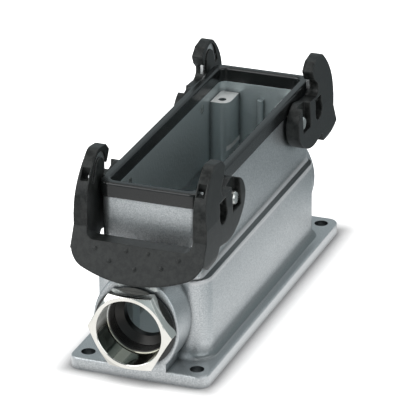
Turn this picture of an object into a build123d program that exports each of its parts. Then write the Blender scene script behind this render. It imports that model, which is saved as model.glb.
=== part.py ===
from build123d import *
import math
import os

# Surface-mounting base housing of a heavy duty rectangular connector, size B24.
# Millimetres. X is across the housing, Y along it, Z up from the mounting surface.
# The origin is the middle of the flange's underside. The cable adapter is at the -Y end.

# Mounting flange
flange_width = 57.0
flange_length = 158.0
flange_thickness = 5.0
flange_corner = 4.5
flange_edge_round = 0.8
mount_hole = 5.5
mount_inset_x = 6.0
mount_inset_y = 6.5

# Lower body, from the flange up to the ledge
body_width = 46.6
body_length = 130.0
body_corner = 8.0
body_wall = 3.0
floor_thickness = 3.0
ledge_height = 38.0
ledge_edge_round = 0.8
foot_fillet = 2.5

# Collar, from the ledge up to the rim
collar_width = 40.4
collar_length = 127.4
collar_corner = 4.0
collar_wall = 2.7
cavity_corner = 3.0
collar_foot_fillet = 1.2
rim_height = 71.5
rim_rebate = 1.0

# Rubber seal on the rim
seal_cover = 0.8
seal_top = 2.5
seal_skirt = 3.4
seal_edge_round = 1.0

# Insert screw bosses in the four corners, and the small rib in each end wall
insert_pitch_x = 27.0
insert_pitch_y = 104.0
boss_round = 4.0
boss_top_drop = 7.8
insert_hole = 3.3
insert_hole_depth = 12.0
end_rib_diameter = 2.6
end_rib_drop = 9.5

# Cable outlets, one in each end, flush with the flange's ends
outlet_height = 22.7
outlet_wall = 3.45
outlet_side_radius = 23.8
outlet_foot_width = 24.4
outlet_top = 40.4
outlet_edge_round = 1.0
thread_diameter = 28.2
machined_flare = 6.4
machined_depth = 5.5

# Nickel-plated hexagonal adapter and its sealing ring, at the -Y end
hex_shoulder = 0.9
hex_length = 6.4
hex_chamfer_angle = 30.0
adapter_shank = 14.0
adapter_band = 1.75
adapter_mouth_depth = 2.6
adapter_seat_depth = 3.4
adapter_wall = 4.95
adapter_edge = 0.4
ring_band = 2.4
ring_thickness = 1.2

# Blanking plug and its ring, at the +Y end
plug_shoulder = 1.4
plug_head_height = 1.6
plug_slot_width = 3.0
plug_slot_depth = 2.4
plug_length = 9.0
plug_ring_section = 1.2
plug_ring_inset = 0.3

# Lever pivots in the long walls of the collar
pivot_inset = 24.4
pivot_drop = 8.0
pin_diameter = 4.0
pin_clearance = 0.05
pin_head_diameter = 5.6
pin_head_height = 2.1
pin_head_edge = 0.6
pin_head_clearance = 0.2
pad_diameter = 6.4
pad_height = 0.8

# Locking levers: two side plates joined by a tilted handle
plate_gap = 1.4
plate_thickness = 5.6
plate_corner_round = 0.9
plate_low_round = 6.0
plate_lean = 1.3
plate_lean_height = 20.0
arm_reach = 34.1
handle_tilt = 27.0
handle_length = 19.9
handle_thickness = 3.5
handle_curve = 60.0
handle_corner = 9.0
window_drop = 4.7
window_corner = 3.5
handle_lip = 2.0
handle_lip_depth = 5.5
handle_side_length = 9.0
handle_rib_thickness = 1.6
handle_rib_depth = 5.8
handle_rib_pitch = 9.5
handle_ribs = 4
handle_rib_length = 9.0
stud_diameter = 1.5
stud_height = 0.45
stud_taper = 20.0
stud_places = ((4.4, 2.2), (17.0, 3.0), (10.6, 7.0), (0.0, 8.9))
rest_clearance = 0.5

# Side view of the lever: points outwards and up from the pivot, in order around the plate
arm_top = (34.1, 3.5)
arm_bend = (32.6, 10.6)
hook_back = (28.4, 17.0)
hook_shoulder = (24.4, 20.7)
hook_crown = (18.9, 22.0)
hook_brow = (14.0, 21.3)
hook_tip = (10.7, 18.0)
hook_lip = (12.9, 14.3)
hook_jaw = (15.3, 12.3)
mouth_back = (16.7, 9.8)
mouth_floor = (12.6, 6.5)
mouth_step = (6.7, 6.9)
lobe_top = (0.6, 8.3)
lobe_end = (-7.9, 1.6)
lobe_low = (-6.2, -5.6)
lobe_bottom = (3.0, -12.0)
belly = (15.0, -12.6)
notch = (20.2, -11.9)
heel_back = (24.4, -17.0)
heel_tip = (29.3, -17.8)

# Recesses of the lever
pin_window_width = 9.0
pin_window_inner = 3.1
pin_window_drop = 3.6
pin_window_floor = 2.6
eye_diameter = 8.2
eye_out = 15.8
eye_up = 0.0
eye_depth = 4.0
eye_slot_width = 7.0
eye_slot_lip = 0.9
eye_slot_depth = 2.0
spring_pocket_height = 4.4
spring_pocket_width = 3.3
spring_pocket_depth = 6.4
spring_pocket_up = 12.6
spring_pocket_wall = 0.4

# Steel springs in the hooks
spring_line = ((15.1, 9.4), (15.1, 15.0), (20.0, 19.2), (25.4, 15.6), (27.6, 10.4))
spring_thickness = 1.2
spring_width = 2.2
spring_inset = 0.7
spring_clearance = 0.2

# Places worked out from the sizes above
half_collar = collar_length / 2
cavity_width = collar_width - 2 * collar_wall
cavity_length = collar_length - 2 * collar_wall
seal_height = rim_height + seal_top
pivot_y = half_collar - pivot_inset
pivot_z = rim_height - pivot_drop
plate_inner = collar_width / 2 + plate_gap
plate_outer = plate_inner + plate_thickness
outlet_face = flange_length / 2
outlet_half_width = thread_diameter / 2 + outlet_wall
hex_flats = thread_diameter + 2 * hex_shoulder
adapter_mouth = hex_flats - 2 * adapter_band
adapter_through = thread_diameter - 2 * adapter_wall
plug_head = thread_diameter + 2 * plug_shoulder
tilt = math.radians(handle_tilt)
handle_low = outlet_top + rest_clearance
handle_kink = handle_low + handle_length * math.cos(tilt)


def rounded_block(width, length, corner, low, high):
    """A block on the centre line with rounded upright corners."""
    outline = RectangleRounded(width, length, corner)
    return Pos(0, 0, low) * extrude(outline, high - low)


def both_sides(shape):
    """The shape and its mirror image across the middle plane."""
    return shape + mirror(shape, Plane.YZ)


def both_ends(shape):
    """The shape and its copy turned half a turn about the upright axis."""
    return shape + Rot(0, 0, 180) * shape


def along_y(radius, start, end):
    """A round bar along Y at the height of the cable outlets."""
    bar = Cylinder(radius, end - start, rotation=(-90, 0, 0))
    return Pos(0, (start + end) / 2, outlet_height) * bar


def outlet_outline():
    """Front view of an outlet boss: bulging sides, a flat top and a straight foot."""
    centre = outlet_half_width - outlet_side_radius
    rise = outlet_top - outlet_height
    top = centre + math.sqrt(outlet_side_radius ** 2 - rise ** 2)
    foot = outlet_foot_width / 2
    fall = math.sqrt(outlet_side_radius ** 2 - (foot - centre) ** 2)
    side = ThreePointArc((foot, -fall), (outlet_half_width, 0), (top, rise))
    other = ThreePointArc((-top, rise), (-outlet_half_width, 0), (-foot, -fall))
    roof = Line((top, rise), (-top, rise))
    base = Polyline([(-foot, -fall), (-foot, -outlet_height), (foot, -outlet_height), (foot, -fall)])
    return make_face(side + roof + other + base)


def outlet_boss():
    """The boss at the +Y end, with its foot on the flange."""
    start = body_length / 2 - body_wall / 2
    face = Plane(origin=(0, start, outlet_height), x_dir=(-1, 0, 0), z_dir=(0, 1, 0))
    boss = extrude(face * outlet_outline(), outlet_face - start)
    end = boss.faces().sort_by(Axis.Y)[-1]
    curved = end.edges().filter_by(GeomType.CIRCLE)
    return fillet(curved, outlet_edge_round)


def outlet_bore():
    """The threaded hole of the +Y outlet, through the end wall, and its machined inner mouth."""
    start = min(cavity_length / 2, body_length / 2 - body_wall)
    wide = thread_diameter / 2 + machined_flare
    hole = along_y(thread_diameter / 2, start - collar_wall, outlet_face + 1)
    mouth = Cone(wide, thread_diameter / 2, machined_depth, rotation=(-90, 0, 0))
    facing = along_y(wide, start - collar_wall, start)
    return hole + facing + Pos(0, start + machined_depth / 2, outlet_height) * mouth


def insert_boss():
    """One corner boss that takes a screw of the contact insert."""
    x = insert_pitch_x / 2
    y = insert_pitch_y / 2
    outer_x = cavity_width / 2 + collar_wall / 2
    outer_y = cavity_length / 2 + collar_wall / 2
    inner_x = x - boss_round
    inner_y = y - boss_round
    size_x = outer_x - inner_x
    size_y = outer_y - inner_y
    column = Pos((outer_x + inner_x) / 2, (outer_y + inner_y) / 2, floor_thickness) * extrude(
        Rectangle(size_x, size_y), rim_height - boss_top_drop - floor_thickness)
    corner = column.edges().filter_by(Axis.Z).sort_by(lambda e: e.center().X + e.center().Y)[0]
    column = fillet(corner, boss_round * 0.95)
    return column


def insert_bosses():
    """The four bosses, kept clear of the walls' outsides."""
    one = insert_boss()
    pair = both_sides(one)
    return pair + mirror(pair, Plane.XZ)


def insert_holes():
    """The four screw holes in the bosses."""
    depth = insert_hole_depth
    top = rim_height - boss_top_drop
    places = GridLocations(insert_pitch_x, insert_pitch_y, 2, 2)
    circles = Sketch() + places * Circle(insert_hole / 2)
    return Pos(0, 0, top - depth) * extrude(circles, depth + 1)


def end_rib():
    """The small round rib cast on the inside of the +Y end wall."""
    height = rim_height - end_rib_drop - floor_thickness
    y = cavity_length / 2 - end_rib_diameter / 4
    rib = extrude(Circle(end_rib_diameter / 2), height)
    return Pos(0, y, floor_thickness) * rib


def pivot_pads():
    """Round pads on the collar's long walls, one around each pivot pin."""
    start = collar_width / 2 - collar_wall / 2
    length = pad_height + collar_wall / 2
    pad = Pos(start + length / 2, pivot_y, pivot_z) * Cylinder(
        pad_diameter / 2, length, rotation=(0, 90, 0))
    return both_ends(both_sides(pad))


def pin_holes():
    """The press-fit holes of the four pivot pins."""
    start = cavity_width / 2 - 1
    length = collar_wall + pad_height + 2
    hole = Pos(start + length / 2, pivot_y, pivot_z) * Cylinder(
        pin_diameter / 2, length, rotation=(0, 90, 0))
    return both_ends(both_sides(hole))


def cavity():
    """The hollow inside: narrow in the collar and wider in the lower body."""
    neck = rounded_block(cavity_width, cavity_length, cavity_corner, ledge_height, rim_height + 1)
    low_width = body_width - 2 * body_wall
    low_length = body_length - 2 * body_wall
    step = body_wall
    low = rounded_block(low_width, low_length, body_corner - body_wall, floor_thickness, ledge_height - step)
    wide = Plane.XY.offset(ledge_height - step) * RectangleRounded(
        low_width, low_length, body_corner - body_wall)
    narrow = Plane.XY.offset(ledge_height) * RectangleRounded(
        cavity_width, cavity_length, cavity_corner)
    return neck + low + loft([wide, narrow])


def outline_edges(shape, height, width, length):
    """The edges of a shape at one height that lie within a width and a length."""
    level = shape.edges().filter_by_position(Axis.Z, height - 0.01, height + 0.01)
    level = level.filter_by_position(Axis.X, -width / 2 - 0.01, width / 2 + 0.01)
    return level.filter_by_position(Axis.Y, -length / 2 - 0.01, length / 2 + 0.01)


def make_housing():
    """The die-cast housing: flange, body, collar and outlets in one piece."""
    flange = rounded_block(flange_width, flange_length, flange_corner, 0, flange_thickness)
    flange = fillet(flange.faces().sort_by(Axis.Z)[-1].edges(), flange_edge_round)
    body = rounded_block(body_width, body_length, body_corner, 0, ledge_height)
    body = fillet(body.faces().sort_by(Axis.Z)[-1].edges(), ledge_edge_round)
    shell = flange + body
    shell = fillet(outline_edges(shell, flange_thickness, body_width, body_length), foot_fillet)
    collar = rounded_block(collar_width, collar_length, collar_corner, floor_thickness, rim_height)
    shell = shell + collar
    shell = fillet(outline_edges(shell, ledge_height, collar_width, collar_length), collar_foot_fillet)
    shell = shell + both_ends(outlet_boss()) + pivot_pads()
    hollow = cavity() - insert_bosses() - both_ends(end_rib())
    shell = shell - hollow - insert_holes() - both_ends(outlet_bore()) - pin_holes()
    rebate_low = rim_height - seal_skirt
    rebate = rounded_block(cavity_width + 2 * rim_rebate, cavity_length + 2 * rim_rebate,
                           cavity_corner + rim_rebate / 2, rebate_low, rim_height + 1)
    shell = shell - rebate
    pitch_x = flange_width - 2 * mount_inset_x
    pitch_y = flange_length - 2 * mount_inset_y
    circles = Sketch() + GridLocations(pitch_x, pitch_y, 2, 2) * Circle(mount_hole / 2)
    return shell - Pos(0, 0, -1) * extrude(circles, flange_thickness + 2)


def make_seal():
    """The rubber frame that caps the rim, with a skirt inside and outside."""
    low = rim_height - seal_skirt
    outside = rounded_block(collar_width + 2 * seal_cover, collar_length + 2 * seal_cover,
                            collar_corner + seal_cover / 2, low, seal_height)
    inside = rounded_block(cavity_width, cavity_length, cavity_corner, low - 1, seal_height + 1)
    frame = outside - inside
    top = frame.faces().sort_by(Axis.Z)[-1]
    frame = fillet(top.edges(), seal_edge_round)
    rim_outer = rounded_block(collar_width, collar_length, collar_corner, low - 1, rim_height)
    rim_inner = rounded_block(cavity_width + 2 * rim_rebate, cavity_length + 2 * rim_rebate,
                              cavity_corner + rim_rebate / 2, low - 2, rim_height + 1)
    return frame - (rim_outer - rim_inner)


def make_adapter():
    """The hexagonal adapter, with turned corners and a stepped cable bore through it."""
    face = outlet_face + ring_thickness
    front = face + hex_length
    hex_plane = Plane(origin=(0, face, outlet_height), x_dir=(1, 0, 0), z_dir=(0, 1, 0))
    body = extrude(hex_plane * RegularPolygon(hex_flats / 2, 6, major_radius=False), hex_length)
    slope = math.tan(math.radians(hex_chamfer_angle))
    turned = Cone((hex_flats / 2) + hex_length / slope, hex_flats / 2, hex_length, rotation=(-90, 0, 0))
    body = body & (Pos(0, face + hex_length / 2, outlet_height) * turned)
    shank = along_y(thread_diameter / 2, outlet_face - adapter_shank, face)
    step = front - adapter_mouth_depth
    mouth = along_y(adapter_mouth / 2, step, front + 1)
    seat = Cone(adapter_through / 2, adapter_mouth / 2, adapter_seat_depth, rotation=(-90, 0, 0))
    seat = Pos(0, step - adapter_seat_depth / 2, outlet_height) * seat
    through = along_y(adapter_through / 2, outlet_face - adapter_shank - 1, front)
    adapter = body + shank - mouth - seat - through
    rims = adapter.edges().filter_by(GeomType.CIRCLE).group_by(Axis.Y)[-1]
    rim = rims.sort_by(SortBy.RADIUS)[0]
    return Rot(0, 0, 180) * chamfer(rim, adapter_edge)


def make_adapter_ring():
    """The flat sealing ring between the adapter and the housing."""
    ring = along_y(thread_diameter / 2 + ring_band, outlet_face, outlet_face + ring_thickness)
    hole = along_y(thread_diameter / 2, outlet_face - 1, outlet_face + ring_thickness + 1)
    return Rot(0, 0, 180) * (ring - hole)


def make_plug():
    """The slotted plug that closes the other outlet."""
    seat = outlet_face + plug_ring_section
    head = along_y(plug_head / 2, seat, seat + plug_head_height)
    rim = head.faces().sort_by(Axis.Y)[-1].edges()
    head = chamfer(rim, plug_head_height / 3)
    shank = along_y(thread_diameter / 2, outlet_face - plug_length, seat)
    slot = Pos(0, seat + plug_head_height - plug_slot_depth / 2, outlet_height) * Box(
        plug_head * 2, plug_slot_depth, plug_slot_width)
    return head + shank - slot


def make_plug_ring():
    """The rubber ring under the plug's head."""
    ring = along_y(plug_head / 2 - plug_ring_inset, outlet_face, outlet_face + plug_ring_section)
    hole = along_y(thread_diameter / 2, outlet_face - 1, outlet_face + plug_ring_section + 1)
    return ring - hole


def make_pin():
    """One pivot pin of the +X side at the +Y end, from the inside of the wall to its head."""
    head_start = plate_inner + pin_window_floor + pin_head_clearance
    shank_start = cavity_width / 2
    shank = Pos((shank_start + head_start) / 2, 0, 0) * Cylinder(
        pin_diameter / 2, head_start - shank_start, rotation=(0, 90, 0))
    head = Pos(head_start + pin_head_height / 2, 0, 0) * Cylinder(
        pin_head_diameter / 2, pin_head_height, rotation=(0, 90, 0))
    rim = head.faces().sort_by(Axis.X)[-1].edges()
    head = chamfer(rim, pin_head_edge)
    return Pos(0, pivot_y, pivot_z) * (shank + head)


def lever_point(out, up):
    """A point of the side view, measured from the pivot outwards and up."""
    return (pivot_y + out, pivot_z + up)


def handle_point(down, depth=0.0):
    """A point of the handle's section: down its front face, and into it."""
    out = pivot_y + arm_reach + down * math.sin(tilt) - depth * math.cos(tilt)
    return (out, handle_kink - down * math.cos(tilt) - depth * math.sin(tilt))


def side_outline():
    """Side view of the lever: arm, hook with its mouth, and lobe around the pivot."""
    kink = handle_point(0)
    foot = handle_point(handle_side_length)
    back = [arm_top, arm_bend, hook_back, hook_shoulder, hook_crown]
    straight = [hook_crown, hook_brow, hook_tip, hook_lip, hook_jaw]
    under = [belly, notch, heel_back, heel_tip]
    parts = [
        Line(kink, lever_point(*arm_top)),
        Spline([lever_point(*point) for point in back], tangents=[(0, 1), (-1, -0.15)]),
        Polyline([lever_point(*point) for point in straight]),
        ThreePointArc(lever_point(*hook_jaw), lever_point(*mouth_back), lever_point(*mouth_floor)),
        Polyline([lever_point(*mouth_floor), lever_point(*mouth_step), lever_point(*lobe_top)]),
        ThreePointArc(lever_point(*lobe_top), lever_point(*lobe_end), lever_point(*lobe_low)),
        ThreePointArc(lever_point(*lobe_low), lever_point(*lobe_bottom), lever_point(*belly)),
        Polyline([lever_point(*point) for point in under]),
        Polyline([lever_point(*heel_tip), foot, kink]),
    ]
    outline = make_face(Curve() + parts)
    sharp = [lever_point(*point) for point in (hook_brow, hook_tip, hook_lip, notch, heel_back, heel_tip)]
    corners = [v for v in outline.vertices() if any(math.dist((v.X, v.Y), at) < 0.01 for at in sharp)]
    return fillet(corners, plate_corner_round)


def side_plate():
    """One side plate at the +X side: leaning inwards at the hook and rounded at its foot."""
    plate = extrude(Plane.YZ.offset(plate_inner) * side_outline(), plate_thickness)
    top = pivot_z + plate_lean_height
    lean = Polyline([(plate_outer, pivot_z), (plate_outer - plate_lean, top),
                     (plate_outer - plate_lean, 2 * top), (plate_outer + 1, 2 * top),
                     (plate_outer + 1, pivot_z)], close=True)
    front = Plane(origin=(0, 0, 0), x_dir=(1, 0, 0), z_dir=(0, -1, 0))
    plate = plate - extrude(front * make_face(lean), -2 * outlet_face)
    low = lever_point(*heel_tip)[1] - plate_low_round / 3
    height = 2 * top - low
    frame = RectangleRounded(2 * plate_outer, height, plate_low_round)
    return plate & extrude(front * Pos(0, low + height / 2) * frame, -2 * outlet_face)


def handle_plate():
    """The tilted handle between the side plates, with a lip and ribs behind it."""
    top = window_drop - window_corner
    lip = window_drop + handle_lip
    section = [
        handle_point(top),
        handle_point(handle_length + handle_thickness),
        handle_point(handle_length + handle_thickness, handle_thickness),
        handle_point(lip, handle_thickness),
        handle_point(lip, handle_lip_depth),
        handle_point(top, handle_lip_depth),
    ]
    plate = Plane.YZ.offset(-plate_outer) * make_face(Polyline(section, close=True))
    plate = extrude(plate, 2 * plate_outer)
    sill = handle_point(window_drop)[1]
    rise = 4 * window_corner
    front = Plane(origin=(0, 0, sill + rise / 2), x_dir=(-1, 0, 0), z_dir=(0, 1, 0))
    window = RectangleRounded(2 * plate_inner, rise, window_corner)
    plate = plate - extrude(front * window, 2 * outlet_face)
    rib_section = [
        handle_point(lip),
        handle_point(lip + handle_rib_length),
        handle_point(lip + handle_rib_length, handle_thickness),
        handle_point(lip, handle_rib_depth),
    ]
    rib = Plane.YZ.offset(-handle_rib_thickness / 2) * make_face(Polyline(rib_section, close=True))
    rib = extrude(rib, handle_rib_thickness)
    plate = plate + GridLocations(handle_rib_pitch, 1, handle_ribs, 1) * rib
    trim = Plane(origin=(0, 0, 0), x_dir=(-1, 0, 0), z_dir=(0, 1, 0)) * front_outline()
    return plate & extrude(trim, 2 * outlet_face)


def front_outline():
    """The handle's outline in front view: upright sides and one long curve below."""
    middle = handle_low + handle_curve
    side = middle - math.sqrt(handle_curve ** 2 - plate_outer ** 2)
    top = 2 * pivot_z
    curve = ThreePointArc((plate_outer, side), (0, handle_low), (-plate_outer, side))
    sides = Polyline([(-plate_outer, side), (-plate_outer, top), (plate_outer, top), (plate_outer, side)])
    outline = make_face(curve + sides)
    corners = outline.vertices().sort_by(Axis.Y)[:2]
    return fillet(corners, handle_corner)


def make_lever():
    """The lever of the +Y end in its open position."""
    plate = side_plate()
    window_y, window_z = lever_point(-pin_window_inner, -pin_window_drop)
    floor = plate_inner + pin_window_floor
    window = Pos((floor + plate_outer + 1) / 2, window_y + pin_window_width / 2, window_z + pivot_z / 2) * Box(
        plate_outer + 1 - floor, pin_window_width, pivot_z)
    eye_y, eye_z = lever_point(eye_out, eye_up)
    eye = Pos(plate_outer - eye_depth / 2, eye_y, eye_z) * Cylinder(
        eye_diameter / 2, eye_depth + 0.01, rotation=(0, 90, 0))
    slot_height = mouth_floor[1] - eye_slot_lip - eye_up
    slot = Pos(plate_outer - eye_slot_depth / 2, eye_y, eye_z + slot_height / 2) * Box(
        eye_slot_depth + 0.01, eye_slot_width, slot_height)
    bore = Pos(plate_inner, pivot_y, pivot_z) * Cylinder(
        pin_diameter / 2 + pin_clearance, plate_thickness * 2, rotation=(0, 90, 0))
    groove = spring_shape(spring_width + 2 * spring_clearance, plate_inner - 1,
                          plate_inner + spring_inset + spring_thickness)
    plate = plate - window - eye - slot - bore - groove - spring_pocket()
    return both_sides(plate) + handle_plate() + grip_studs()


def spring_pocket():
    """The square pocket in the front of the arm that shows the spring's end."""
    y, z = lever_point(arm_reach + 1 - spring_pocket_depth, spring_pocket_up)
    x = plate_inner + spring_pocket_wall
    return Pos(x + spring_pocket_width / 2, y + spring_pocket_depth / 2, z + spring_pocket_height / 2) * Box(
        spring_pocket_width, spring_pocket_depth + 2, spring_pocket_height)


def spring_path():
    """The bent line of the steel spring in the side view, over the throat of the hook."""
    low_in, high_in, crest, high_out, low_out = [lever_point(*point) for point in spring_line]
    return [Line(low_in, high_in), ThreePointArc(high_in, crest, high_out), Line(high_out, low_out)]


def spring_shape(width, low, high):
    """The spring's bent strip, of a width in side view, between two distances from the middle."""
    strip = trace(Wire(spring_path()), width)
    return extrude(Plane.YZ.offset(low) * strip, high - low)


def make_spring():
    """One steel spring, at the +X side of the +Y lever."""
    low = plate_inner + spring_inset
    return spring_shape(spring_width, low, low + spring_thickness)


def grip_studs():
    """Small round studs on the handle's front, in mirrored places."""
    studs = []
    for across, down in stud_places:
        y, z = handle_point(window_drop + down)
        frame = Plane(origin=(0, y, z), x_dir=(1, 0, 0), z_dir=(0, math.cos(tilt), math.sin(tilt)))
        for x in sorted({across, -across}):
            studs.append(extrude(frame * Pos(x, 0) * Circle(stud_diameter / 2), stud_height, taper=stud_taper))
    return studs


def save(name, shape):
    """Write one named piece."""
    export_step(shape, "parts/" + name + ".step")


os.makedirs("parts", exist_ok=True)
half_turn = Rot(0, 0, 180)

save("housing", make_housing())
save("frame_seal", make_seal())
save("cable_adapter", make_adapter())
save("adapter_ring", make_adapter_ring())
save("blanking_plug", make_plug())
save("plug_ring", make_plug_ring())

rear_lever = make_lever()
save("rear_lever", rear_lever)
save("front_lever", half_turn * rear_lever)

pin = make_pin()
spring = make_spring()
for kind, piece in (("pivot_pin", pin), ("hook_spring", spring)):
    save("rear_right_" + kind, piece)
    save("rear_left_" + kind, mirror(piece, Plane.YZ))
    save("front_left_" + kind, half_turn * piece)
    save("front_right_" + kind, half_turn * mirror(piece, Plane.YZ))
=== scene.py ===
import math

import bpy
from mathutils import Matrix, Vector


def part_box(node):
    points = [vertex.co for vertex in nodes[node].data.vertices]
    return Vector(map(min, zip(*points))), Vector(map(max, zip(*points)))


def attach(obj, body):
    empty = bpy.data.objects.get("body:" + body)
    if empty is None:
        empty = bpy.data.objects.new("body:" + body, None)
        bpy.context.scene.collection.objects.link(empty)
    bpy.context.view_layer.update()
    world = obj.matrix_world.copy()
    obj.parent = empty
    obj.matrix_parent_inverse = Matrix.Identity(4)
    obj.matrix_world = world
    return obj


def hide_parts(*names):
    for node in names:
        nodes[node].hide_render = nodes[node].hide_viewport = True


# Looks of a connector housing with two locking levers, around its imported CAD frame.
# Metres, in the frame's own axes: the cable adapter is at -Y, and Z is up.

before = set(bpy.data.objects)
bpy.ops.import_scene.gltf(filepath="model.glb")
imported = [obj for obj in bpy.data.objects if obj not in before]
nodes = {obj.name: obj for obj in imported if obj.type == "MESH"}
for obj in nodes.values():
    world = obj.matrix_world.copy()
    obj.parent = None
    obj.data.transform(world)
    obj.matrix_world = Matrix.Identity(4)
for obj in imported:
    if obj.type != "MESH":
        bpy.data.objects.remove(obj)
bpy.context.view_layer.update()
MM = 0.001

# Camera, as fitted to the photograph
AZIMUTH = math.radians(20.95)
ELEVATION = math.radians(23.94)
ROLL = math.radians(-0.38)
FOCAL_PIXELS = 3738.7
PICTURE_PIXELS = 408
SENSOR_MM = 36.0
DISTANCE = 1504.7 * MM
SHIFT_RIGHT = -2.05 * MM
SHIFT_UP = 37.12 * MM

# Widths over which the edge of a zone fades: where a cutter ended it, and elsewhere
CRISP = 0.1 * MM
SOFT = 0.2 * MM

# The housing's upper corner, and its well, where the coat is painted darker as shade
_, HOUSING_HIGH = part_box("housing")
WELL_HALF_WIDTH = 19.6 * MM
WELL_HALF_LENGTH = 62.2 * MM
WELL_FLOOR = (2.0 * MM, 2.6 * MM)
SIDE_WALL = 17.5 * MM

# Bare metal: the outlets' mouths, the tops of the screw bosses, and where the cutter grazed them; the
# grazed band is also a painted highlight
OUTLET_HEIGHT = 22.7 * MM
MOUTH_RADIUS = 20.5 * MM
MOUTH_START = 61.0 * MM
MOUTH_END = 66.5 * MM
THREAD_RADIUS = 14.1 * MM
BOSS_TOP = HOUSING_HIGH[2] - 7.8 * MM
BOSS_REACH = (17.2 * MM, 60.7 * MM)
BOSS_INNER_SIDE = 9.3 * MM
GRAZE_RADIUS = 23.2 * MM
GRAZE_HALF_WIDTH = 0.9 * MM
GRAZE_MIDDLE = 55.0 * MM
GRAZE_HALF_LENGTH = 6.0 * MM

# The outer skin: its ledge, its foot on the flange, the flange's holes, and nooks, all with painted
# shade, the ledge also with painted highlights
SKIN_HALF_LENGTH = 65.0 * MM
LEDGE_TOP = 38.0 * MM
LEDGE_LINE = 0.15 * MM
LEDGE_REACH = 1.8 * MM
FOOT_LOW = 5.15 * MM
FOOT_HIGH = 10.5 * MM
HOLE_PLACE = (22.5 * MM, 72.5 * MM)
HOLE_RADIUS = 2.85 * MM
NOOK_REACH = 3 * MM
NOOK_SHADE_COLOUR = (0.07, 0.08, 0.085)

# The hexagonal adapter: its body, and its bore as radius and depth in mm from the front face
ADAPTER_LOW, ADAPTER_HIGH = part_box("cable_adapter")
ADAPTER_FRONT = ADAPTER_LOW[1]
ADAPTER_LENGTH = ADAPTER_HIGH[1] - ADAPTER_FRONT
ADAPTER_STEPS = 144
HEX_HALF_FLATS = (ADAPTER_HIGH[2] - ADAPTER_LOW[2]) / 2
HEX_FACE_RADIUS = HEX_HALF_FLATS - 0.1 * MM
HEX_LENGTH = 6.4 * MM
HEX_CHAMFER = math.radians(30.0)
HEX_TURN = math.radians(60.0)
SHARP_ANGLE = math.radians(25.0)
BORE_MOUTH = ((13.55, 0.0), (13.25, 0.3), (13.25, 11.0), (12.3, 11.6))
BORE_GROOVE = ((12.3, 0.0), (12.7, 0.15), (12.7, 0.45), (12.3, 0.6))
GROOVE_START = 12.0
GROOVE_PITCH = 1.1
GROOVES = 4
BORE_END = ((12.3, 16.6), (9.15, 18.6))

# Finish of the bore: its radius, depths of its painted-shade wall and dull end, sky-facing heights of a
# painted highlight
HOLLOW_RADIUS = 13.4 * MM
WALL_DEPTH = 0.3 * MM
DULL_DEPTH = 11.05 * MM
DEPTH_BLEND = 0.3 * MM
SKY_LIT_HEIGHTS = (OUTLET_HEIGHT - 3 * MM, OUTLET_HEIGHT + 1 * MM)

# Sky: its fill light, and what reflections see of it, as heights and brightness
SKY_FILL = 0.35
SKY_STOPS = ((0.0, 0.35), (0.40, 0.60), (0.75, 0.15))
SKY_TONE = (0.84, 0.96, 1.0)
WHITE = (1.0, 1.0, 1.0)

# Floor: white to the camera from a short way off, and in reflections bright in two pools
FLOOR_SIZE = 6.0
FLOOR_DROP = 0.02 * MM
FLOOR_CAMERA_SHARE = 0.15
FLOOR_WHITE_NEAR = 0.2
FLOOR_WHITE_FAR = 7.0
WHITE_RANGE = (0.5 * MM, 13 * MM)
# Reach of the painted shadow around the housing
CONTACT_REACH = 9 * MM
POOL_FAR = 0.28
POOL_NEAR = 1.15
SIDE_POOL = (3 * MM, 56 * MM)
FRONT_POOL = (90 * MM, 210 * MM)
FRONT_POOL_PLACE = (0.0, -150 * MM)
DIM_SHARE = 0.72
DIM_MIDDLE = 4.0 * MM
DIM_HALF_LENGTH = 3.6 * MM

# Lamps: name, place, width and height in metres, and power in watts
LAMP_TARGET = (0.0, 0.0, 40 * MM)
LAMPS = (
    ("key", (-0.80, -0.75, 0.75), (1.3, 1.1), 10.0),
    ("side", (1.05, -0.45, 0.45), (1.1, 0.8), 3.0),
    ("top", (0.1, 0.3, 1.2), (1.1, 1.1), 5.5),
)


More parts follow.
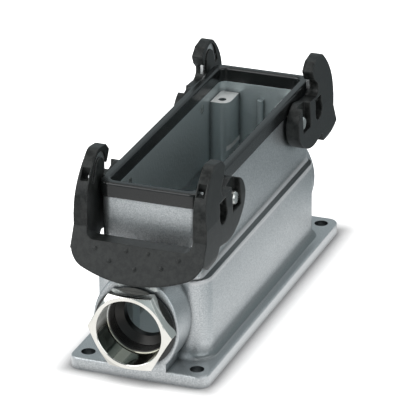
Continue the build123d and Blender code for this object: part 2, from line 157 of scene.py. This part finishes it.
class Nodes:
    """Short ways to build a node tree."""

    def __init__(self, tree):
        self.tree = tree

    def new(self, kind):
        return self.tree.nodes.new("ShaderNode" + kind)

    def link(self, source, target):
        self.tree.links.new(source, target)

    def position(self):
        return self.new("NewGeometry").outputs["Position"]

    def local(self):
        return self.new("TexCoord").outputs["Object"]

    def noise(self, scale, detail, rough=0.55):
        """Noise in the object's own space, at a scale per metre."""
        node = self.new("TexNoise")
        node.inputs["Scale"].default_value = scale
        node.inputs["Detail"].default_value = detail
        node.inputs["Roughness"].default_value = rough
        self.link(self.local(), node.inputs["Vector"])
        return node.outputs["Fac"]

    def ramp(self, value, low, high, out_low=0.0, out_high=1.0):
        """A value's range spread over another range, and held at its ends."""
        node = self.new("MapRange")
        node.clamp = True
        node.inputs["From Min"].default_value = low
        node.inputs["From Max"].default_value = high
        node.inputs["To Min"].default_value = out_low
        node.inputs["To Max"].default_value = out_high
        self.link(value, node.inputs["Value"])
        return node.outputs["Result"]

    def maths(self, operation, *values):
        node = self.new("Math")
        node.operation = operation
        for socket, value in zip(node.inputs, values):
            if isinstance(value, (int, float)):
                socket.default_value = value
            else:
                self.link(value, socket)
        return node.outputs["Value"]

    def plus(self, a, b):
        return self.maths("ADD", a, b)

    def minus(self, a, b):
        return self.maths("SUBTRACT", a, b)

    def times(self, a, b):
        return self.maths("MULTIPLY", a, b)

    def largest(self, a, b):
        return self.maths("MAXIMUM", a, b)

    def size(self, value):
        return self.maths("ABSOLUTE", value)

    def length(self, x, y):
        """The distance from an axis, of two coordinates across it."""
        return self.maths("SQRT", self.plus(self.maths("POWER", x, 2.0), self.maths("POWER", y, 2.0)))

    def within(self, value, limit, soft=SOFT):
        """1 where the size of a value is under a limit."""
        return self.ramp(self.size(value), limit - soft, limit + soft, 1.0, 0.0)

    def band(self, value, middle, half_width, soft=SOFT):
        """1 where a value lies in a band."""
        return self.within(self.minus(value, middle), half_width, soft)

    def mix(self, share, a, b):
        """A colour between two, each given as three numbers or as a socket."""
        node = self.new("Mix")
        node.data_type = "RGBA"
        colours = [socket for socket in node.inputs if socket.type == "RGBA"]
        for socket, value in zip(colours, (a, b)):
            if isinstance(value, tuple):
                socket.default_value = (*value, 1.0)
            else:
                self.link(value, socket)
        self.link(share, node.inputs[0])
        return [socket for socket in node.outputs if socket.type == "RGBA"][0]

    def split(self, vector):
        node = self.new("SeparateXYZ")
        self.link(vector, node.inputs[0])
        return node.outputs["X"], node.outputs["Y"], node.outputs["Z"]

    def rounded_normal(self, radius):
        """The normal with the edges rounded to a radius."""
        node = self.new("Bevel")
        node.samples = 6
        node.inputs["Radius"].default_value = radius
        return node.outputs["Normal"]

    def crevice(self, reach):
        """0 in the open and up to 1 where other faces stand close around."""
        node = self.new("AmbientOcclusion")
        node.samples = 6
        node.inputs["Distance"].default_value = reach
        return self.ramp(node.outputs["AO"], 0.45, 0.9, 1.0, 0.0)

    def edge(self, reach):
        """Up to 1 along the outer edges of a piece."""
        match = self.new("VectorMath")
        match.operation = "DOT_PRODUCT"
        self.link(self.rounded_normal(reach), match.inputs[0])
        self.link(self.new("NewGeometry").outputs["Normal"], match.inputs[1])
        corner = self.ramp(match.outputs["Value"], 0.80, 0.97, 1.0, 0.0)
        return self.times(corner, self.minus(1.0, self.crevice(reach * 2)))


class Finish(Nodes):
    """A material's node tree, around its shader."""

    def __init__(self, name):
        self.material = bpy.data.materials.new(name)
        self.material.use_nodes = True
        super().__init__(self.material.node_tree)
        self.shader = self.tree.nodes["Principled BSDF"]

    def fixed(self, name, value):
        """Gives a socket of the shader a constant value."""
        self.shader.inputs[name].default_value = value

    def feed(self, name, source):
        """Links a source to a socket of the shader."""
        self.link(source, self.shader.inputs[name])

    def relief(self, height, strength, distance, edge_round):
        """Fine relief from a height, over rounded edges."""
        node = self.new("Bump")
        node.inputs["Strength"].default_value = strength
        node.inputs["Distance"].default_value = distance
        self.link(height, node.inputs["Height"])
        self.link(self.rounded_normal(edge_round), node.inputs["Normal"])
        self.feed("Normal", node.outputs["Normal"])


def bare_places(n, x, y, z, inside):
    """1 on the housing's machined places."""
    along = n.size(y)
    radius = n.length(x, n.minus(z, OUTLET_HEIGHT))
    bore = n.ramp(along, MOUTH_START, MOUTH_END, MOUTH_RADIUS, THREAD_RADIUS)
    in_bore = n.ramp(n.minus(radius, bore), CRISP, 2 * CRISP, 1.0, 0.0)
    mouth = n.times(in_bore, n.ramp(along, MOUTH_START, MOUTH_START + 2 * CRISP))
    top = n.band(z, BOSS_TOP, CRISP, CRISP / 2)
    top = n.times(top, n.within(x, BOSS_REACH[0], CRISP))
    top = n.times(top, n.within(y, BOSS_REACH[1], CRISP))
    # The grazed band: bare metal, and also a painted highlight where the cut would catch the light
    graze_highlight = n.band(radius, GRAZE_RADIUS, GRAZE_HALF_WIDTH)
    graze_highlight = n.times(graze_highlight, n.band(along, GRAZE_MIDDLE, GRAZE_HALF_LENGTH))
    graze_highlight = n.times(graze_highlight, n.ramp(n.size(x), BOSS_INNER_SIDE - CRISP, BOSS_INNER_SIDE + CRISP))
    return n.largest(mouth, n.largest(top, n.times(graze_highlight, inside)))


def coat():
    """Silvery powder coat on the casting, with painted shade inside, at the ledge, foot, nooks and
    holes, a painted highlight along the ledge, and bare machined places.
    """
    n = Finish("grey_powder_coat")
    x, y, z = n.split(n.local())
    inside = n.times(n.within(x, WELL_HALF_WIDTH), n.within(y, WELL_HALF_LENGTH))
    inside = n.times(inside, n.ramp(z, *WELL_FLOOR))
    skin = n.times(n.minus(1.0, inside), n.within(y, SKIN_HALF_LENGTH))

    # Speckle, faint clouds, and painted shade in the well, darker on its side walls
    speckle = n.ramp(n.noise(2600.0, 2.0), 0.35, 0.65)
    cloud = n.ramp(n.noise(60.0, 3.0), 0.3, 0.7, 0.0, 0.14)
    well_shade = n.mix(n.within(x, SIDE_WALL, 0.3 * MM), (0.34, 0.40, 0.41), (0.56, 0.64, 0.65))
    shade = n.mix(speckle, (0.42, 0.45, 0.465), (0.67, 0.69, 0.70))
    shade = n.mix(cloud, shade, (0.38, 0.40, 0.41))
    shade = n.mix(n.times(inside, 0.8), shade, well_shade)

    # Painted highlights on the edges at the ledge, a painted shade line between them, and painted shade
    # in the nooks
    above = n.minus(z, LEDGE_TOP)
    ledge_highlight = n.times(skin, n.within(above, LEDGE_REACH, 0.4 * MM))
    ledge_shade_line = n.times(skin, n.within(above, LEDGE_LINE, 0.06 * MM))
    nook_shade = n.times(n.crevice(NOOK_REACH), n.ramp(ledge_highlight, 0.0, 1.0, 0.9, 0.3))
    shade = n.mix(n.times(ledge_highlight, 0.8), shade, (0.70, 0.71, 0.72))
    shade = n.mix(nook_shade, shade, NOOK_SHADE_COLOUR)
    shade = n.mix(ledge_shade_line, shade, (0.13, 0.145, 0.15))

    # Painted shade in the flange's holes, and along the foot, darkest where the wall meets the flange
    hole = n.length(n.minus(n.size(x), HOLE_PLACE[0]), n.minus(n.size(y), HOLE_PLACE[1]))
    foot_shade = n.times(n.ramp(z, FOOT_LOW, FOOT_HIGH, 0.85, 0.0), n.ramp(z, FOOT_LOW - CRISP, FOOT_LOW))
    shade = n.mix(n.within(hole, HOLE_RADIUS, CRISP / 2), shade, NOOK_SHADE_COLOUR)
    shade = n.mix(n.times(foot_shade, skin), shade, (0.17, 0.19, 0.195))

    # Bare places, which are plainer than the metallic coat, as are the well and the ledge's edges
    bare = bare_places(n, x, y, z, inside)
    shade = n.mix(bare, shade, (0.95, 0.96, 0.95))
    plain = n.largest(n.largest(bare, n.times(inside, 0.47)), ledge_highlight)
    n.feed("Base Color", shade)
    n.feed("Metallic", n.ramp(plain, 0.0, 1.0, 0.85, 0.4))
    n.feed("Roughness", n.ramp(bare, 0.0, 1.0, 0.36, 0.45))
    n.relief(n.noise(750.0, 4.0), 0.8, 0.18 * MM, 0.3 * MM)
    return n.material


def rubber():
    """Black moulded rubber."""
    n = Finish("black_rubber")
    grain = n.noise(900.0, 3.0)
    tone = n.mix(n.ramp(grain, 0.3, 0.7), (0.004, 0.005, 0.005), (0.009, 0.010, 0.010))
    n.feed("Base Color", tone)
    n.fixed("Roughness", 0.25)
    n.fixed("Specular IOR Level", 0.65)
    n.relief(grain, 0.15, 0.05 * MM, 0.4 * MM)
    return n.material


def lever_plastic():
    """Near-black moulded plastic with a fine grain, faint flow marks, and edges painted lighter as a
    highlight.
    """
    n = Finish("lever_plastic")
    grain = n.noise(1500.0, 4.0)
    cloud = n.noise(430.0, 4.0, 0.65)
    tone = n.mix(n.ramp(cloud, 0.42, 0.60), (0.005, 0.006, 0.006), (0.025, 0.027, 0.026))
    tone = n.mix(n.ramp(grain, 0.3, 0.7, 0.0, 0.35), tone, (0.030, 0.033, 0.031))
    # Painted highlight: the outer edges made lighter
    tone = n.mix(n.times(n.edge(0.35 * MM), 0.5), tone, (0.14, 0.15, 0.145))
    n.feed("Base Color", tone)
    n.feed("Roughness", n.ramp(cloud, 0.35, 0.65, 0.34, 0.46))
    n.fixed("Specular IOR Level", 0.35)
    n.relief(grain, 0.25, 0.06 * MM, 0.7 * MM)
    return n.material


def steel(name, light, dark, rough):
    """Bare steel with faint variation in its gloss."""
    n = Finish(name)
    wear = n.noise(900.0, 4.0)
    n.feed("Base Color", n.mix(n.ramp(wear, 0.3, 0.7), light, dark))
    n.feed("Roughness", n.ramp(wear, 0.3, 0.7, rough, rough * 1.6))
    n.fixed("Metallic", 1.0)
    n.relief(wear, 0.04, 0.02 * MM, 0.2 * MM)
    return n.material


def nickel():
    """Bright nickel with a faint waviness; down the adapter's bore the wall has painted shade, its
    upper side a painted highlight, and its end is dull and dark.
    """
    n = Finish("bright_nickel")
    x, y, z = n.split(n.local())
    wave = n.noise(140.0, 2.0)
    depth = n.minus(y, ADAPTER_FRONT)
    hollow = n.within(n.length(x, n.minus(z, OUTLET_HEIGHT)), HOLLOW_RADIUS, CRISP)
    wall_shade = n.times(hollow, n.ramp(depth, WALL_DEPTH, WALL_DEPTH + DEPTH_BLEND))
    deep = n.times(hollow, n.ramp(depth, DULL_DEPTH, DULL_DEPTH + DEPTH_BLEND))
    sky_lit_highlight = n.times(wall_shade, n.ramp(z, *SKY_LIT_HEIGHTS))
    shade = n.mix(n.ramp(wave, 0.3, 0.7), (0.80, 0.79, 0.75), (0.72, 0.71, 0.66))
    shade = n.mix(wall_shade, shade, (0.42, 0.41, 0.34))
    shade = n.mix(sky_lit_highlight, shade, (0.90, 0.92, 0.90))
    n.feed("Base Color", n.mix(deep, shade, (0.035, 0.034, 0.033)))
    n.feed("Metallic", n.ramp(sky_lit_highlight, 0.0, 1.0, 1.0, 0.3))
    n.feed("Roughness", n.ramp(deep, 0.0, 1.0, 0.08, 0.30))
    n.relief(wave, 0.25, 0.15 * MM, 0.25 * MM)
    return n.material


def paint(material, *names):
    """Gives a material to CAD nodes."""
    for name in names:
        for place in nodes[name].material_slots:
            place.material = material


def dress():
    """Every CAD node gets its finish."""
    levers = [name for name in nodes if name.endswith("_lever")]
    springs = [name for name in nodes if name.endswith("_hook_spring")]
    pins = [name for name in nodes if name.endswith("_pivot_pin")]
    paint(coat(), "housing")
    paint(rubber(), "frame_seal", "adapter_ring", "plug_ring")
    paint(lever_plastic(), "blanking_plug", *levers)
    paint(steel("spring_steel", (0.86, 0.86, 0.85), (0.74, 0.74, 0.74), 0.25), *springs)
    paint(steel("pin_steel", (0.74, 0.73, 0.71), (0.62, 0.62, 0.60), 0.2), *pins)


def bore_profile():
    """The adapter's bore as radius and depth in metres, from its front face to its inner end."""
    profile = list(BORE_MOUTH)
    for index in range(GROOVES):
        start = GROOVE_START + index * GROOVE_PITCH
        profile += [(radius, start + depth) for radius, depth in BORE_GROOVE]
    profile = [(radius * MM, depth * MM) for radius, depth in profile + list(BORE_END)]
    return profile + [(profile[-1][0], ADAPTER_LENGTH)]


def adapter_rings(angles):
    """Rings of radius and depth: out of the bore, over the hexagon and back along the shank."""
    hexagon = [HEX_HALF_FLATS / math.cos(angle % HEX_TURN - HEX_TURN / 2) for angle in angles]
    slope = math.tan(HEX_CHAMFER)
    rings = [[(radius, depth)] * len(angles) for radius, depth in reversed(bore_profile())]
    rings.append([(HEX_FACE_RADIUS, 0.0)] * len(angles))
    rings.append([(radius, (radius - HEX_FACE_RADIUS) * slope) for radius in hexagon])
    rings.append([(radius, HEX_LENGTH) for radius in hexagon])
    rings.append([(THREAD_RADIUS, HEX_LENGTH)] * len(angles))
    rings.append([(THREAD_RADIUS, ADAPTER_LENGTH)] * len(angles))
    return rings


def make_adapter():
    """The nickel-plated adapter: a hexagon with turned corners, its shank and its deep bore."""
    angles = [2 * math.pi * step / ADAPTER_STEPS for step in range(ADAPTER_STEPS)]
    rings = adapter_rings(angles)
    points = []
    for ring in rings:
        for angle, (radius, depth) in zip(angles, ring):
            across = radius * math.cos(angle)
            points.append((across, ADAPTER_FRONT + depth, OUTLET_HEIGHT + radius * math.sin(angle)))
    faces = []
    for ring in range(len(rings)):
        first = ring * ADAPTER_STEPS
        second = (ring + 1) % len(rings) * ADAPTER_STEPS
        for step in range(ADAPTER_STEPS):
            after = (step + 1) % ADAPTER_STEPS
            faces.append((first + step, first + after, second + after, second + step))
    mesh = bpy.data.meshes.new("nickel_adapter")
    mesh.from_pydata(points, [], faces)
    mesh.validate()
    mesh.shade_smooth()
    mesh.set_sharp_from_angle(angle=SHARP_ANGLE)
    adapter = bpy.data.objects.new("nickel_adapter", mesh)
    bpy.context.scene.collection.objects.link(adapter)
    mesh.materials.append(nickel())
    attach(adapter, "base")
    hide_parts("cable_adapter")


def make_floor():
    """A pale floor: white to the camera, with the object's soft shadow, partly from the lamps and
    partly painted close around the housing.
    """
    bpy.ops.mesh.primitive_plane_add(size=FLOOR_SIZE, location=(0, 0, -FLOOR_DROP))
    floor = bpy.context.object
    floor.name = "floor"
    n = Finish("pale_floor")
    # Painted shadow: the floor's colour darkens where the housing stands close
    n.feed("Base Color", n.mix(n.crevice(CONTACT_REACH), (0.93, 0.93, 0.93), (0.30, 0.30, 0.31)))
    n.fixed("Roughness", 0.9)

    # Distances from the housing's footprint and from the front pool
    x, y, _ = n.split(n.position())
    aside = n.largest(n.minus(n.size(x), HOUSING_HIGH[0]), 0.0)
    beyond = n.largest(n.minus(n.size(y), HOUSING_HIGH[1]), 0.0)
    away = n.length(aside, beyond)
    front = n.length(n.minus(x, FRONT_POOL_PLACE[0]), n.minus(y, FRONT_POOL_PLACE[1]))

    # The glow that the camera sees, and the one that reflections see
    path = n.new("LightPath")
    camera_ray = path.outputs["Is Camera Ray"]
    pool = n.largest(n.ramp(away, *SIDE_POOL, 1.0, 0.0), n.ramp(front, *FRONT_POOL, 1.0, 0.0))
    dimmed = n.band(beyond, DIM_MIDDLE, DIM_HALF_LENGTH, 0.3 * MM)
    bright = n.ramp(pool, 0.0, 1.0, POOL_FAR, POOL_NEAR)
    mirrored = n.times(bright, n.ramp(dimmed, 0.0, 1.0, 1.0, DIM_SHARE))
    white = n.ramp(away, *WHITE_RANGE, FLOOR_WHITE_NEAR, FLOOR_WHITE_FAR)
    strength = n.plus(n.times(camera_ray, white), n.times(n.minus(1.0, camera_ray), mirrored))
    glow = n.new("Emission")
    n.link(n.mix(n.largest(camera_ray, pool), SKY_TONE, WHITE), glow.inputs["Color"])
    n.link(strength, glow.inputs["Strength"])

    # A small share of that glow for the camera, all of it for reflections, and none for the light
    blend = n.new("MixShader")
    share = n.plus(n.times(camera_ray, FLOOR_CAMERA_SHARE), path.outputs["Is Glossy Ray"])
    n.link(share, blend.inputs[0])
    n.link(n.shader.outputs[0], blend.inputs[1])
    n.link(glow.outputs[0], blend.inputs[2])
    n.link(blend.outputs[0], n.tree.nodes["Material Output"].inputs["Surface"])
    floor.data.materials.append(n.material)


def light_room():
    """A white room for the camera, with a darker sky in reflections, and soft lamps."""
    world = bpy.data.worlds.new("studio")
    world.use_nodes = True
    n = Nodes(world.node_tree)
    sky = n.new("ValToRGB")
    stops = sky.color_ramp.elements
    while len(stops) < len(SKY_STOPS):
        stops.new(0.5)
    for stop, (height, value) in zip(stops, SKY_STOPS):
        stop.position = height
        stop.color = (*(value * part for part in SKY_TONE), 1.0)
    _, _, height = n.split(n.new("TexCoord").outputs["Generated"])
    n.link(height, sky.inputs["Fac"])
    path = n.new("LightPath")
    shown = n.mix(path.outputs["Is Glossy Ray"], (SKY_FILL,) * 3, sky.outputs["Color"])
    shown = n.mix(path.outputs["Is Camera Ray"], shown, WHITE)
    n.link(shown, n.tree.nodes["Background"].inputs["Color"])
    bpy.context.scene.world = world
    for name, place, sides, power in LAMPS:
        soft_lamp(name, place, sides, power)


def soft_lamp(name, place, sides, power):
    """A large soft lamp that points at the object."""
    data = bpy.data.lights.new(name, "AREA")
    data.shape = "RECTANGLE"
    data.size, data.size_y = sides
    data.energy = power
    lamp = bpy.data.objects.new(name, data)
    lamp.location = place
    lamp.rotation_euler = (Vector(LAMP_TARGET) - Vector(place)).to_track_quat("-Z", "Y").to_euler()
    bpy.context.scene.collection.objects.link(lamp)


def place_camera():
    """The camera of the photograph."""
    level = math.cos(ELEVATION)
    back = Vector((math.sin(AZIMUTH) * level, -math.cos(AZIMUTH) * level, math.sin(ELEVATION)))
    right = Vector((math.cos(AZIMUTH), math.sin(AZIMUTH), 0.0))
    up = back.cross(right)
    rolled_right = right * math.cos(ROLL) + up * math.sin(ROLL)
    rolled_up = up * math.cos(ROLL) - right * math.sin(ROLL)
    data = bpy.data.cameras.new("camera")
    data.sensor_width = SENSOR_MM
    data.lens = FOCAL_PIXELS * SENSOR_MM / PICTURE_PIXELS
    data.clip_start = 0.05
    data.clip_end = 20.0
    camera = bpy.data.objects.new("camera", data)
    axes = Matrix((rolled_right, rolled_up, back)).transposed().to_4x4()
    place = rolled_right * SHIFT_RIGHT + rolled_up * SHIFT_UP + back * DISTANCE
    camera.matrix_world = Matrix.Translation(place) @ axes
    bpy.context.scene.collection.objects.link(camera)
    bpy.context.scene.camera = camera


dress()
make_adapter()
make_floor()
light_room()
place_camera()
scene = bpy.context.scene
scene.view_settings.view_transform = "Standard"
